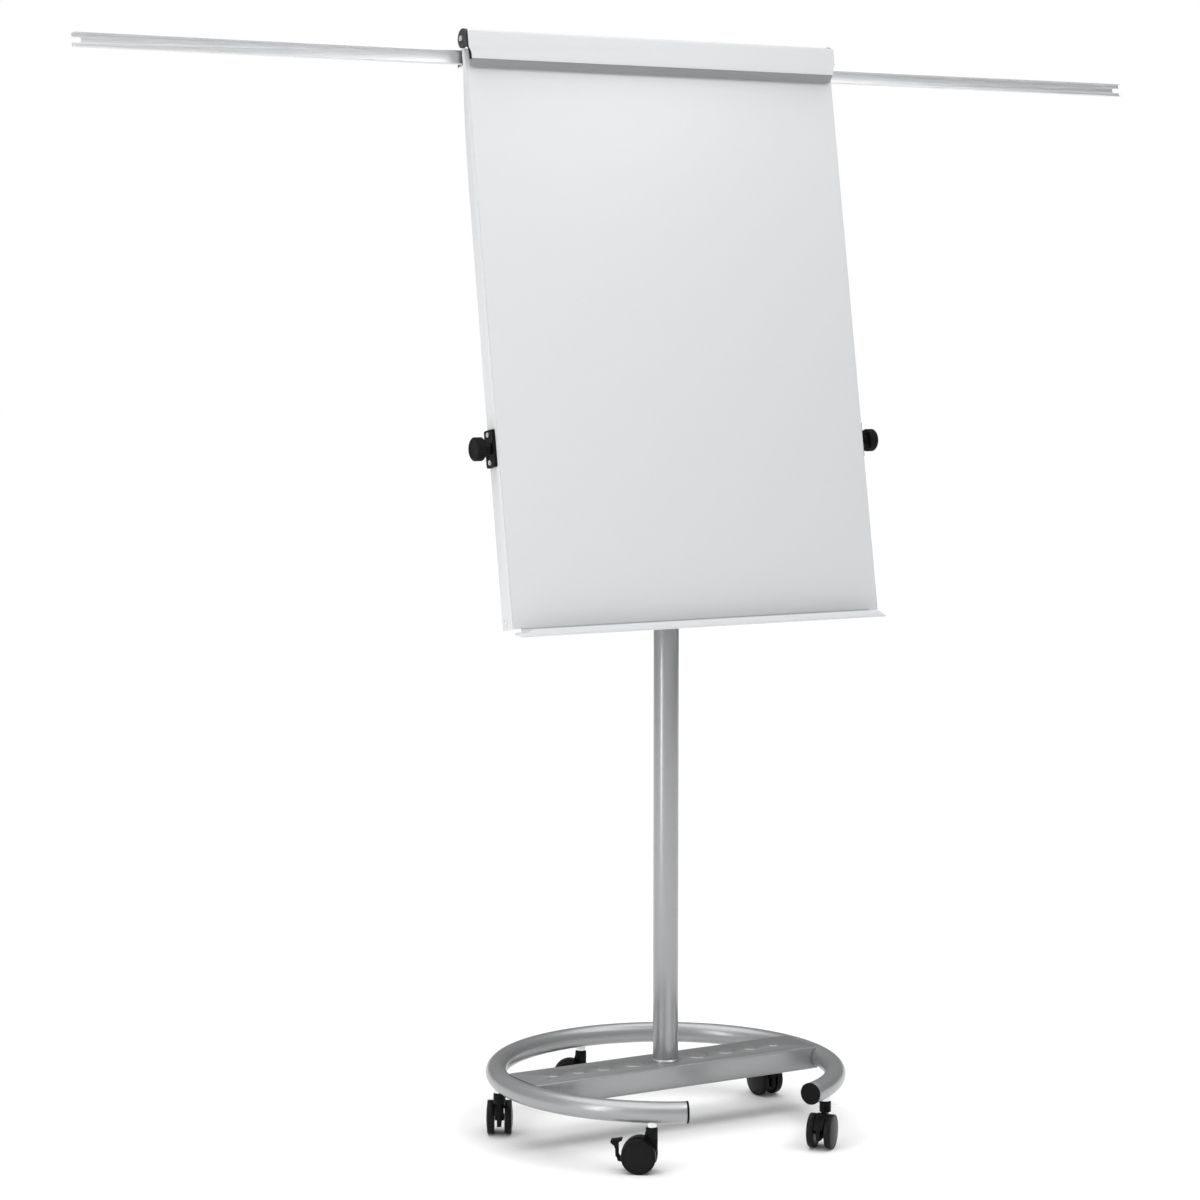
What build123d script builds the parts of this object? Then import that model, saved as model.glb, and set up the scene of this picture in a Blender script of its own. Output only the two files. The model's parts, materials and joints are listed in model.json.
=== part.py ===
from build123d import *
import os
from math import acos, asin, atan2, cos, degrees, radians, sin, sqrt

# Mobile flipchart easel: a tilting steel board on a height-adjustable column,
# standing on an open ring with five twin-wheel castors.  Millimetres, +Z up,
# the board's face looks towards -Y.

os.makedirs("parts", exist_ok=True)

# ---- driving dimensions -------------------------------------------------
# ring base
ring_radius = 283.5          # centre line of the bent ring tube
ring_tube_radius = 17.4
ring_wall = 2.0
ring_z = 97.0                # height of the ring's centre line
ring_gap_half_angle = 24.9   # half of the open stretch at the front, degrees
castor_angles = {"back": 90, "left": 162, "right": 18, "front_left": -126, "front_right": -54}
castor_headings = {"back": 149, "left": 59.6, "right": 90, "front_left": 143, "front_right": -139}
braked_castors = ("front_left", "left")

# castors
wheel_radius = 28.0
wheel_width = 11.5
wheel_gap = 17.6             # between the two wheels of a pair
dish_bulge = 2.0             # how far a wheel's outer face bows out
castor_trail = 19.5
axle_radius = 3.0
fender_radius = 29.0          # arched rim over the web, between the wheels
fender_thickness = 3.0
fender_half_width = 7.6
web_half = 3.6
housing_radius = 9.5
housing_top = 73.0
stem_radius = 5.0
stem_collar_radius = 8.0
running_gap = 0.06           # radial clearance of every running fit

# cross beam
beam_half_length = 275.0
beam_width = 98.0
beam_height = 37.5
beam_top = 114.5
beam_wall = 2.0
disc_offsets = (62, 120, 168.5, 216)
disc_diameters = (36, 29, 24, 21)
disc_height = 0.9

# column and mast
column_radius = 21.0
column_top = 905.0
mast_radius = 17.0
tube_wall = 2.0
mast_in_column = 470.0       # how far the mast reaches down into the column at rest
collar_radius = 27.0

# board
board_half_width = 350.0
board_height = 925.0
tilt = 9.5                   # lean of the board behind the vertical, degrees
pivot_forward = 43.0         # tilt axis ahead of the column's axis
pivot_z = 1146.0
pivot_height = 287.0         # tilt axis above the board's lower edge, along the board
pivot_depth = 19.0           # tilt axis behind the board's face
sheet = 1.2                  # steel sheet of the board
flange_sheet = 1.5
pivot_tube_radius = 12.5
stud_radius = 4.0
knob_radius = 19.0

# side arms
arm_length = 690.0
arm_reach = 1001.0           # outer end of an extended arm, from the middle
arm_height = 22.0
arm_depth = 7.4
arm_sheet = 1.2
arm_centre_height = 912.5
arm_fronts = {"left": -12.0, "right": -22.4}

# paper clamp
clamp_pivot_depth = 5.0
clamp_pivot_height = 941.0
clamp_front = 15.0           # front of the clamp bar, ahead of the board's face
clamp_sheet = 1.8
clamp_lip_height = 905.0
hood_arc_radius = 13.9
clamp_inner_half = 346.0     # between the two hinge brackets

# ---- worked out from them ------------------------------------------------
tilt_rad = radians(tilt)
castor_reach = castor_trail + wheel_radius
back_reach = ring_radius + 40.3
cap_radius = ring_tube_radius + 0.6
cap_flange = 3.5
front_reach = (ring_radius + cap_radius) * cos(radians(ring_gap_half_angle)) + cap_flange * sin(
    radians(ring_gap_half_angle)
)
column_y = -(back_reach - front_reach) / 2
ring_bottom = ring_z - ring_tube_radius
beam_bottom = beam_top - beam_height
pivot_y = column_y - pivot_forward
mast_top = pivot_z - 10.0
mast_bottom = column_top - mast_in_column
board_y = pivot_y - pivot_height * sin(tilt_rad) - pivot_depth * cos(tilt_rad)
board_z = pivot_z - pivot_height * cos(tilt_rad) + pivot_depth * sin(tilt_rad)
knob_start = board_half_width + 5.8
knob_end = board_half_width + 33.5
knob_turn_radius = knob_radius - 0.6

# frames: board_plane has x across, y up the board, z out of its face;
# a side plane has x out of the face and y up the board, and extrudes towards -X
board_plane = Plane(
    origin=(0, board_y, board_z),
    x_dir=(1, 0, 0),
    z_dir=(0, -cos(tilt_rad), sin(tilt_rad)),
)


def side_plane(x=0.0):
    """Section plane of the board at one X; it extrudes towards -X."""
    return Plane(
        origin=(x, board_y, board_z),
        x_dir=(0, -cos(tilt_rad), sin(tilt_rad)),
        z_dir=(-1, 0, 0),
    )


def face_plane(depth):
    """Plane parallel to the board's face, depth ahead of it."""
    return board_plane.offset(depth)


def pivot_plane(x):
    """Plane across the tilt axis at one X; it extrudes towards -X."""
    return Plane(origin=(x, pivot_y, pivot_z), x_dir=(0, -1, 0), z_dir=(-1, 0, 0))


column_plane = Plane.XY.offset(0).shift_origin((0, column_y, 0))


def level(z):
    """Horizontal plane centred on the column's axis."""
    return Plane(origin=(0, column_y, z), x_dir=(1, 0, 0), z_dir=(0, 0, 1))


# ---- ring base -------------------------------------------------------------
gap = ring_gap_half_angle
with BuildPart() as ring_tube:
    with BuildLine(level(ring_z)) as ring_path:
        CenterArc((0, 0), ring_radius, -90 + gap, 360 - 2 * gap)
    with BuildSketch(Plane(origin=ring_path.line @ 0, z_dir=ring_path.line % 0)):
        Circle(ring_tube_radius)
        Circle(ring_tube_radius - ring_wall, mode=Mode.SUBTRACT)
    sweep(path=ring_path.line)
    with BuildSketch(level(ring_bottom - 1)):
        for angle in castor_angles.values():
            with PolarLocations(ring_radius, 1, start_angle=angle):
                Circle(stem_collar_radius)
    extrude(amount=ring_wall + 8, mode=Mode.SUBTRACT)
ring_tube.part.label = "ring_tube"
export_step(ring_tube.part, "parts/ring_tube.step")

cap_plug = 14.0
with BuildPart() as ring_end_caps:
    for end, outward in ((0, -1), (1, 1)):
        tip = ring_path.line @ end
        direction = (ring_path.line % end) * outward
        with BuildSketch(Plane(origin=tip, z_dir=direction)):
            Circle(cap_radius)
        extrude(amount=cap_flange)
        with BuildSketch(Plane(origin=tip, z_dir=direction)):
            Circle(ring_tube_radius - ring_wall - 0.4)
        extrude(amount=-cap_plug)
    outer_edges = ring_end_caps.edges().filter_by(GeomType.CIRCLE).group_by(SortBy.RADIUS)[-1]
    front_tips = [
        edge
        for edge in outer_edges
        if min((edge.arc_center - (ring_path.line @ end)).length for end in (0, 1)) > 1
    ]
    fillet(front_tips, radius=1.4)
ring_end_caps.part.label = "ring_end_caps"
export_step(ring_end_caps.part, "parts/ring_end_caps.step")

# ---- cross beam, with raised discs pressed along its top -------------------
seam_gap = 0.3
beam_section = Plane(
    origin=(0, column_y, beam_top - beam_height / 2), x_dir=(0, 1, 0), z_dir=(1, 0, 0)
)
with BuildPart() as cross_beam:
    with BuildSketch(beam_section):
        Rectangle(beam_width, beam_height)
    extrude(amount=beam_half_length, both=True)
    fillet(cross_beam.edges().filter_by(Axis.X), radius=2.5)
    with BuildSketch(beam_section):
        Rectangle(beam_width - 2 * beam_wall, beam_height - 2 * beam_wall)
    extrude(amount=beam_half_length, both=True, mode=Mode.SUBTRACT)
    with BuildSketch(level(beam_top - 0.5)):
        for side in (-1, 1):
            for offset_x, diameter in zip(disc_offsets, disc_diameters):
                with Locations((side * offset_x, 0)):
                    Circle(diameter / 2)
    extrude(amount=disc_height + 0.5)
    disc_rims = (
        cross_beam.edges()
        .filter_by(GeomType.CIRCLE)
        .filter_by_position(Axis.Z, beam_top + disc_height - 0.01, beam_top + disc_height + 0.01)
    )
    chamfer(disc_rims, length=0.8)
    with BuildSketch(level(beam_bottom - 1)):
        Circle(8.4)
    extrude(amount=beam_wall + 2, mode=Mode.SUBTRACT)
    with BuildSketch(level(beam_top - beam_wall - 1)):
        Circle(8.4)
    extrude(amount=beam_wall + 2, mode=Mode.SUBTRACT)
    with BuildSketch(Plane(origin=(0, column_y, ring_z), x_dir=(1, 0, 0), z_dir=(0, -1, 0))):
        with Locations((ring_radius, 0)):
            Circle(ring_tube_radius + seam_gap)
    revolve(
        axis=Axis((0, column_y, ring_z), (0, 0, 1)),
        mode=Mode.SUBTRACT,
    )
cross_beam.part.label = "cross_beam"
export_step(cross_beam.part, "parts/cross_beam.step")

# ---- fixed column -----------------------------------------------------------
column_inner = column_radius - tube_wall
stud_level = column_top - 18.0
with BuildPart() as column_tube:
    with BuildSketch(level(beam_top)):
        Circle(column_radius)
        Circle(column_inner, mode=Mode.SUBTRACT)
    extrude(amount=column_top - beam_top)
    with BuildSketch(Plane(origin=(0, column_y, stud_level), z_dir=(0, 1, 0))):
        Circle(stud_radius + 0.5)
    extrude(amount=column_radius + 5, mode=Mode.SUBTRACT)
column_tube.part.label = "column_tube"
export_step(column_tube.part, "parts/column_tube.step")

with BuildPart() as column_collar:
    with BuildSketch(level(beam_top)):
        Circle(column_radius + 3)
        Circle(column_radius, mode=Mode.SUBTRACT)
    extrude(amount=4)
    top_rim = column_collar.edges().filter_by(GeomType.CIRCLE).group_by(Axis.Z)[-1]
    chamfer(top_rim.sort_by(SortBy.RADIUS)[-1], length=2.4)
column_collar.part.label = "column_collar"
export_step(column_collar.part, "parts/column_collar.step")

bolt_radius = 7.0
with BuildPart() as column_plug:
    with BuildSketch(level(beam_top)):
        Circle(column_inner)
        Circle(bolt_radius, mode=Mode.SUBTRACT)
    extrude(amount=32)
column_plug.part.label = "column_plug"
export_step(column_plug.part, "parts/column_plug.step")

washer_thickness = 3.0
head_height = 5.0
with BuildPart() as column_fixing:
    with BuildSketch(level(beam_bottom - washer_thickness)):
        Circle(17)
        Circle(bolt_radius, mode=Mode.SUBTRACT)
    extrude(amount=washer_thickness)
    with BuildSketch(level(beam_bottom - washer_thickness - head_height)):
        RegularPolygon(radius=12, side_count=6, major_radius=False)
    extrude(amount=head_height - 0.02)
    with BuildSketch(level(beam_bottom - washer_thickness - 0.03)):
        Circle(bolt_radius - 0.02)
    extrude(amount=beam_height + washer_thickness + 26)
column_fixing.part.label = "column_fixing"
export_step(column_fixing.part, "parts/column_fixing.step")

bush_length = 42.0
bush_flange = 3.0
with BuildPart() as column_bush:
    with BuildSketch(level(column_top - bush_length)):
        Circle(column_inner)
    extrude(amount=bush_length)
    with BuildSketch(level(column_top)):
        Circle(column_radius)
    extrude(amount=bush_flange)
    with BuildSketch(level(column_top - bush_length)):
        Circle(mast_radius + running_gap)
    extrude(amount=bush_length + bush_flange, mode=Mode.SUBTRACT)
    with BuildSketch(Plane(origin=(0, column_y, stud_level), z_dir=(0, 1, 0))):
        Circle(stud_radius + 0.5)
    extrude(amount=column_radius + 5, mode=Mode.SUBTRACT)
column_bush.part.label = "column_bush"
export_step(column_bush.part, "parts/column_bush.step")

collar_bottom = column_top - 38.0
collar_lip = 3.0
boss_radius = 11.0
boss_reach = 38.0
with BuildPart() as height_collar:
    with BuildSketch(level(collar_bottom)):
        Circle(collar_radius)
    extrude(amount=column_top + bush_flange + collar_lip - collar_bottom)
    fillet(height_collar.edges().filter_by(GeomType.CIRCLE), radius=2)
    with BuildSketch(Plane(origin=(0, column_y, stud_level), z_dir=(0, 1, 0))):
        Circle(boss_radius)
    extrude(amount=boss_reach)
    with BuildSketch(level(collar_bottom)):
        Circle(column_radius)
    extrude(amount=column_top + bush_flange - collar_bottom, mode=Mode.SUBTRACT)
    with BuildSketch(level(column_top)):
        Circle(mast_radius + 0.8)
    extrude(amount=bush_flange + collar_lip + 1, mode=Mode.SUBTRACT)
    with BuildSketch(Plane(origin=(0, column_y, stud_level), z_dir=(0, 1, 0))):
        Circle(stud_radius + running_gap)
    extrude(amount=boss_reach + 1, mode=Mode.SUBTRACT)
height_collar.part.label = "height_collar"
export_step(height_collar.part, "parts/height_collar.step")


def knob_profile(start, end, radius):
    """Half section of a knurled clamp knob: x along its axis, y its radius."""
    neck = radius * 0.6
    return Polyline(
        (start, 0),
        (start, neck),
        (start + 2.4, neck),
        (start + 7.5, radius),
        (end - 2.5, radius),
        (end, radius - 2.5),
        (end, 0),
        close=True,
    )


def knurl(plane, radius, count):
    """Section of the grip grooves around a knob: small circles along its rim."""
    with BuildSketch(plane) as grooves:
        with PolarLocations(radius + 0.35, count):
            Circle(0.95)
    return grooves.sketch


height_knob_start = boss_reach + 2
height_knob_end = boss_reach + 24
height_knob_radius = 16.0
stud_gap = 0.4
with BuildPart() as height_knob:
    knob_axis = Plane(origin=(0, column_y, stud_level), x_dir=(0, 1, 0), z_dir=(1, 0, 0))
    with BuildSketch(knob_axis):
        with BuildLine():
            knob_profile(height_knob_start, height_knob_end, height_knob_radius)
        make_face()
    revolve(axis=Axis((0, column_y, stud_level), (0, 1, 0)))
    grip_start = Plane(
        origin=(0, column_y + height_knob_start + 5, stud_level), z_dir=(0, 1, 0)
    )
    extrude(knurl(grip_start, height_knob_radius, 24), amount=30, mode=Mode.SUBTRACT)
    with BuildSketch(Plane(origin=(0, column_y, stud_level), z_dir=(0, 1, 0))):
        Circle(stud_radius)
    extrude(amount=height_knob_start + 14, mode=Mode.SUBTRACT)
height_knob.part.label = "height_knob"
export_step(height_knob.part, "parts/height_knob.step")

with BuildPart() as height_stud:
    stud_tip = Plane(origin=(0, column_y + mast_radius + stud_gap, stud_level), z_dir=(0, 1, 0))
    with BuildSketch(stud_tip):
        Circle(stud_radius)
    extrude(amount=height_knob_start + 14 - mast_radius - stud_gap)
height_stud.part.label = "height_stud"
export_step(height_stud.part, "parts/height_stud.step")

# ---- telescopic mast --------------------------------------------------------
with BuildPart() as mast_tube:
    with BuildSketch(level(mast_bottom)):
        Circle(mast_radius)
        Circle(mast_radius - tube_wall, mode=Mode.SUBTRACT)
    extrude(amount=mast_top - mast_bottom)
mast_tube.part.label = "mast_tube"
export_step(mast_tube.part, "parts/mast_tube.step")

with BuildPart() as mast_foot:
    with BuildSketch(level(mast_bottom - 14)):
        Circle(column_inner - running_gap)
    extrude(amount=14)
    with BuildSketch(level(mast_bottom)):
        Circle(mast_radius - tube_wall)
    extrude(amount=24)
    chamfer(mast_foot.edges().group_by(Axis.Z)[0], length=2)
mast_foot.part.label = "mast_foot"
export_step(mast_foot.part, "parts/mast_foot.step")

head_half_length = 32.0
head_boss_radius = 16.3
socket_radius = 21.5
socket_bottom = mast_top - 52.0
with BuildPart() as mast_head:
    with BuildSketch(pivot_plane(head_half_length)):
        Circle(head_boss_radius)
    extrude(amount=2 * head_half_length)
    with BuildSketch(level(socket_bottom)):
        Circle(socket_radius)
    extrude(amount=mast_top + 4 - socket_bottom)
    with BuildSketch(pivot_plane(head_half_length * 0.55)):
        with BuildLine():
            Polyline(
                (head_boss_radius - 4, 0),
                (0, -head_boss_radius + 1),
                (-pivot_forward, socket_bottom + 4 - pivot_z),
                (-pivot_forward, mast_top + 4 - pivot_z),
                (-6, 10),
                close=True,
            )
        make_face()
    extrude(amount=2 * head_half_length * 0.55)
    with BuildSketch(level(socket_bottom)):
        Circle(mast_radius)
    extrude(amount=mast_top - socket_bottom, mode=Mode.SUBTRACT)
    with BuildSketch(pivot_plane(head_half_length)):
        Circle(pivot_tube_radius)
    extrude(amount=2 * head_half_length, mode=Mode.SUBTRACT)
mast_head.part.label = "mast_head"
export_step(mast_head.part, "parts/mast_head.step")

tube_half_length = board_half_width - 4.0
with BuildPart() as pivot_tube:
    with BuildSketch(pivot_plane(tube_half_length)):
        Circle(pivot_tube_radius)
        Circle(pivot_tube_radius - tube_wall, mode=Mode.SUBTRACT)
    extrude(amount=2 * tube_half_length)
pivot_tube.part.label = "pivot_tube"
export_step(pivot_tube.part, "parts/pivot_tube.step")

insert_length = 28.0
with BuildPart() as pivot_inserts:
    for start in (tube_half_length, -tube_half_length + insert_length):
        with BuildSketch(pivot_plane(start)):
            Circle(pivot_tube_radius - tube_wall)
            Circle(stud_radius + running_gap, mode=Mode.SUBTRACT)
        extrude(amount=insert_length)
pivot_inserts.part.label = "pivot_inserts"
export_step(pivot_inserts.part, "parts/pivot_inserts.step")

# ---- tilt knobs and their studs ---------------------------------------------
knob_count = 30
with BuildPart() as tilt_knob_right:
    with BuildSketch(Plane(origin=(0, pivot_y, pivot_z), x_dir=(1, 0, 0), z_dir=(0, -1, 0))):
        with BuildLine():
            knob_profile(knob_start, knob_end, knob_radius)
        make_face()
    revolve(axis=Axis((0, pivot_y, pivot_z), (1, 0, 0)))
    grip_start = Plane(origin=(knob_start + 5, pivot_y, pivot_z), z_dir=(1, 0, 0))
    extrude(knurl(grip_start, knob_radius, knob_count), amount=30, mode=Mode.SUBTRACT)
    with BuildSketch(Plane(origin=(0, pivot_y, pivot_z), z_dir=(1, 0, 0))):
        Circle(stud_radius)
    extrude(amount=knob_start + 16, mode=Mode.SUBTRACT)
with BuildPart() as tilt_knob_left:
    mirror(tilt_knob_right.part, about=Plane.YZ)

stud_start = tube_half_length - insert_length + 4
with BuildPart() as tilt_stud_right:
    with BuildSketch(Plane(origin=(stud_start, pivot_y, pivot_z), z_dir=(1, 0, 0))):
        Circle(stud_radius)
    extrude(amount=knob_start + 16 - stud_start)
with BuildPart() as tilt_stud_left:
    mirror(tilt_stud_right.part, about=Plane.YZ)

# ---- board ------------------------------------------------------------------
sheet_half_width = board_half_width - flange_sheet - 0.1
sheet_top = board_height - 1.5
with BuildPart() as board_sheet:
    with BuildSketch(face_plane(-sheet)):
        with Locations((0, sheet_top / 2)):
            Rectangle(2 * sheet_half_width, sheet_top)
    extrude(amount=sheet)
board_sheet.part.label = "board_sheet"
export_step(board_sheet.part, "parts/board_sheet.step")

flange_foot_depth = 33.0
flange_top_depth = 11.0
bush_hole_radius = 10.0
flange_screw = (-20.0, 11.0)     # ahead of the face, above the lower edge
with BuildPart() as side_flange_left:
    with BuildSketch(side_plane(-board_half_width + flange_sheet)):
        with BuildLine():
            Polyline(
                (-flange_foot_depth, -1.5),
                (0, -1.5),
                (0, board_height),
                (-flange_top_depth, board_height),
                (-flange_top_depth, board_height - 32),
            )
            Spline(
                (-flange_top_depth, board_height - 32),
                (-19.5, 820),
                (-25.5, 640),
                (-28.5, 420),
                (-flange_foot_depth, -1.5),
            )
        make_face()
        with Locations((-pivot_depth, pivot_height)):
            Circle(bush_hole_radius, mode=Mode.SUBTRACT)
        with Locations(flange_screw):
            Circle(2.5, mode=Mode.SUBTRACT)
        with Locations((-2.6, board_height - 13)):
            Rectangle(1.8, 32, mode=Mode.SUBTRACT)
    extrude(amount=flange_sheet)
    with BuildSketch(side_plane(-board_half_width + 14)):
        with Locations((-sheet - 0.8, (sheet_top + 24) / 2)):
            Rectangle(1.4, sheet_top - 24)
    extrude(amount=14 - flange_sheet)
with BuildPart() as side_flange_right:
    mirror(side_flange_left.part, about=Plane.YZ)

rail_back = flange_foot_depth - 6
with BuildPart() as bottom_rail:
    with BuildSketch(side_plane(0)):
        with BuildLine():
            FilletPolyline(
                (-rail_back, 22),
                (-rail_back, 1),
                (-sheet - 2.2, 1),
                (-sheet - 2.2, 20),
                radius=2,
            )
        trace(line_width=1.5)
    extrude(amount=sheet_half_width, both=True)
bottom_rail.part.label = "bottom_rail"
export_step(bottom_rail.part, "parts/bottom_rail.step")

with BuildPart() as flange_screws:
    for side in (-1, 1):
        screw_end = Plane(
            origin=board_plane.from_local_coords(
                Vector(side * board_half_width, flange_screw[1], flange_screw[0])
            ),
            z_dir=(side, 0, 0),
        )
        with BuildSketch(screw_end):
            Circle(4.2)
        extrude(amount=2.2)
        with BuildSketch(screw_end):
            Circle(2.4)
        extrude(amount=-flange_sheet)
    head_rims = flange_screws.edges().filter_by(GeomType.CIRCLE).group_by(Axis.X)
    fillet(head_rims[0] + head_rims[-1], radius=1.2)
flange_screws.part.label = "flange_screws"
export_step(flange_screws.part, "parts/flange_screws.step")

rib_centre = 170.0
rib_depth = 14.0
rib_bottom = 325.0
rib_top = 880.0
with BuildPart() as back_ribs:
    rib_plane = Plane(
        origin=board_plane.from_local_coords(Vector(0, rib_bottom, 0)),
        x_dir=(1, 0, 0),
        z_dir=board_plane.y_dir,
    )
    with BuildSketch(rib_plane):
        for centre in (-rib_centre, rib_centre):
            with BuildLine():
                FilletPolyline(
                    (centre - 30, sheet + 0.7),
                    (centre - 18, sheet + 0.7),
                    (centre - 18, rib_depth),
                    (centre + 18, rib_depth),
                    (centre + 18, sheet + 0.7),
                    (centre + 30, sheet + 0.7),
                    radius=2,
                )
            trace(line_width=1.2)
    extrude(amount=rib_top - rib_bottom)
back_ribs.part.label = "back_ribs"
export_step(back_ribs.part, "parts/back_ribs.step")

# ---- pivot plates on the sides of the board ---------------------------------
plate_width = 30.0
plate_height = 60.0
plate_thickness = 5.0
plate_screw_offset = 22.0
with BuildPart() as pivot_plate_left:
    with BuildSketch(side_plane(-board_half_width)):
        with Locations((-pivot_depth - 0.5, pivot_height)):
            RectangleRounded(plate_width, plate_height, radius=3)
    extrude(amount=plate_thickness)
    outer_rim = pivot_plate_left.faces().sort_by(Axis.X)[0].edges()
    chamfer(outer_rim, length=1.6)
    with BuildSketch(side_plane(-board_half_width)):
        with Locations((-pivot_depth, pivot_height)):
            Circle(bush_hole_radius)
            with Locations((0, plate_screw_offset), (0, -plate_screw_offset)):
                Circle(2.6)
    extrude(amount=plate_thickness, mode=Mode.SUBTRACT)
with BuildPart() as pivot_plate_right:
    mirror(pivot_plate_left.part, about=Plane.YZ)

with BuildPart() as pivot_plate_screws:
    for side in (-1, 1):
        for lift in (-plate_screw_offset, plate_screw_offset):
            screw_seat = Plane(
                origin=board_plane.from_local_coords(
                    Vector(
                        side * (board_half_width + plate_thickness),
                        pivot_height + lift,
                        -pivot_depth,
                    )
                ),
                z_dir=(side, 0, 0),
            )
            with BuildSketch(screw_seat):
                Circle(4)
                RegularPolygon(radius=2, side_count=6, mode=Mode.SUBTRACT)
            extrude(amount=1.8)
            with BuildSketch(screw_seat):
                Circle(2.5)
            extrude(amount=-plate_thickness)
pivot_plate_screws.part.label = "pivot_plate_screws"
export_step(pivot_plate_screws.part, "parts/pivot_plate_screws.step")

with BuildPart() as pivot_bushes:
    for side in (-1, 1):
        bush_start = Plane(
            origin=(side * (board_half_width - flange_sheet), pivot_y, pivot_z), z_dir=(side, 0, 0)
        )
        with BuildSketch(bush_start):
            Circle(bush_hole_radius)
            Circle(stud_radius + running_gap, mode=Mode.SUBTRACT)
        extrude(amount=flange_sheet + plate_thickness)
pivot_bushes.part.label = "pivot_bushes"
export_step(pivot_bushes.part, "parts/pivot_bushes.step")

# ---- guide rail and the two pull-out arms -----------------------------------
lane_clearance = 0.75
rail_wall = 1.35
lane_half_height = arm_height / 2 + lane_clearance
rail_half_height = lane_half_height + 1.25
rail_front = -9.75
rail_rear = arm_fronts["right"] - arm_depth - lane_clearance - rail_wall
with BuildPart() as arm_rail:
    with BuildSketch(side_plane(0)):
        with Locations(((rail_front + rail_rear) / 2, arm_centre_height)):
            Rectangle(rail_front - rail_rear, 2 * rail_half_height)
        for front in arm_fronts.values():
            with Locations((front - arm_depth / 2, arm_centre_height)):
                Rectangle(
                    arm_depth + 2 * lane_clearance, 2 * lane_half_height, mode=Mode.SUBTRACT
                )
    extrude(amount=sheet_half_width, both=True)
    with BuildSketch(side_plane(0)):
        with Locations(((rail_front - sheet - 0.1) / 2, arm_centre_height)):
            Rectangle(-rail_front - sheet - 0.1, 1.5)
    extrude(amount=sheet_half_width - 14, both=True)
arm_rail.part.label = "arm_rail"
export_step(arm_rail.part, "parts/arm_rail.step")

notch_width = 8.0
notch_depth = 15.0


def side_arm(side, front):
    """One pull-out arm: a channel open to the front, with an open slot in its tip."""
    with BuildPart() as arm:
        tip = side * arm_reach
        root = side * (arm_reach - arm_length)
        with BuildSketch(side_plane(max(tip, root))):
            with Locations((front - arm_depth / 2, arm_centre_height)):
                Rectangle(arm_depth, arm_height)
            with Locations((front - (arm_depth - arm_sheet) / 2, arm_centre_height)):
                Rectangle(arm_depth - arm_sheet, arm_height - 2 * arm_sheet, mode=Mode.SUBTRACT)
        extrude(amount=arm_length)
        with BuildSketch(face_plane(front + 1)):
            with Locations((tip, arm_centre_height)):
                SlotOverall(2 * notch_depth, notch_width)
        extrude(amount=-arm_depth - 2, mode=Mode.SUBTRACT)
        tip_corners = arm.edges().filter_by(lambda e: abs(e.tangent_at(0).dot(board_plane.z_dir)) > 0.999)
        outer = [
            e
            for e in tip_corners
            if abs(abs(e.center().X) - arm_reach) < 0.01
            and abs(board_plane.to_local_coords(e.center()).Y - arm_centre_height) > arm_height / 2 - 0.1
        ]
        fillet(outer, radius=2.5)
    return arm


arm_left = side_arm(-1, arm_fronts["left"])
arm_left.part.label = "arm_left"
export_step(arm_left.part, "parts/arm_left.step")
arm_right = side_arm(1, arm_fronts["right"])
arm_right.part.label = "arm_right"
export_step(arm_right.part, "parts/arm_right.step")

# ---- pen tray ---------------------------------------------------------------
tray_half_width = 346.0
tray_sheet = 1.2
tray_upstand_half = 334.0
with BuildPart() as pen_tray:
    with BuildSketch(side_plane(0)):
        with BuildLine():
            FilletPolyline(
                (-sheet - 0.7, 22),
                (-sheet - 0.7, -9.5),
                (27.5, -15.8),
                (27.5, -4),
                radius=3,
            )
        trace(line_width=tray_sheet)
    extrude(amount=tray_half_width, both=True)
    for side in (-1, 1):
        with BuildSketch(face_plane(30)):
            with BuildLine():
                Polyline(
                    (side * tray_half_width, -13.5),
                    (side * (tray_half_width - 18), -3),
                    (side * (tray_half_width + 1), -3),
                    close=True,
                )
            make_face()
        extrude(amount=-10, mode=Mode.SUBTRACT)
        with BuildSketch(face_plane(5)):
            with Locations((side * (tray_upstand_half + 10), 10)):
                Rectangle(20, 32)
        extrude(amount=-10, mode=Mode.SUBTRACT)
pen_tray.part.label = "pen_tray"
export_step(pen_tray.part, "parts/pen_tray.step")

# ---- clamp hinge brackets on the board's top corners -------------------------
bracket_outer = board_half_width + 2.0
bracket_inner = clamp_inner_half + 0.5
pin_radius = 3.0
pin_end = clamp_inner_half - 12.0
with BuildPart() as hinge_bracket_left:
    with BuildSketch(side_plane(-bracket_inner)):
        with BuildLine():
            ThreePointArc((6.0, 954.0), (-16.0, 947.5), (-11.5, 926.6))
            Polyline((-11.5, 926.6), (12.2, 926.6), (9.6, 940.0), (6.0, 954.0))
        make_face()
    extrude(amount=bracket_outer - bracket_inner)
    with BuildSketch(side_plane(-bracket_inner)):
        with Locations((-6.2, board_height - 12)):
            Rectangle(4.6, 30)
    extrude(amount=board_half_width - flange_sheet - bracket_inner - 0.05)
    with BuildSketch(side_plane(-bracket_inner)):
        with Locations((-clamp_pivot_depth, clamp_pivot_height)):
            Circle(pin_radius)
    extrude(amount=bracket_outer - bracket_inner, mode=Mode.SUBTRACT)
with BuildPart() as hinge_bracket_right:
    mirror(hinge_bracket_left.part, about=Plane.YZ)

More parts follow.
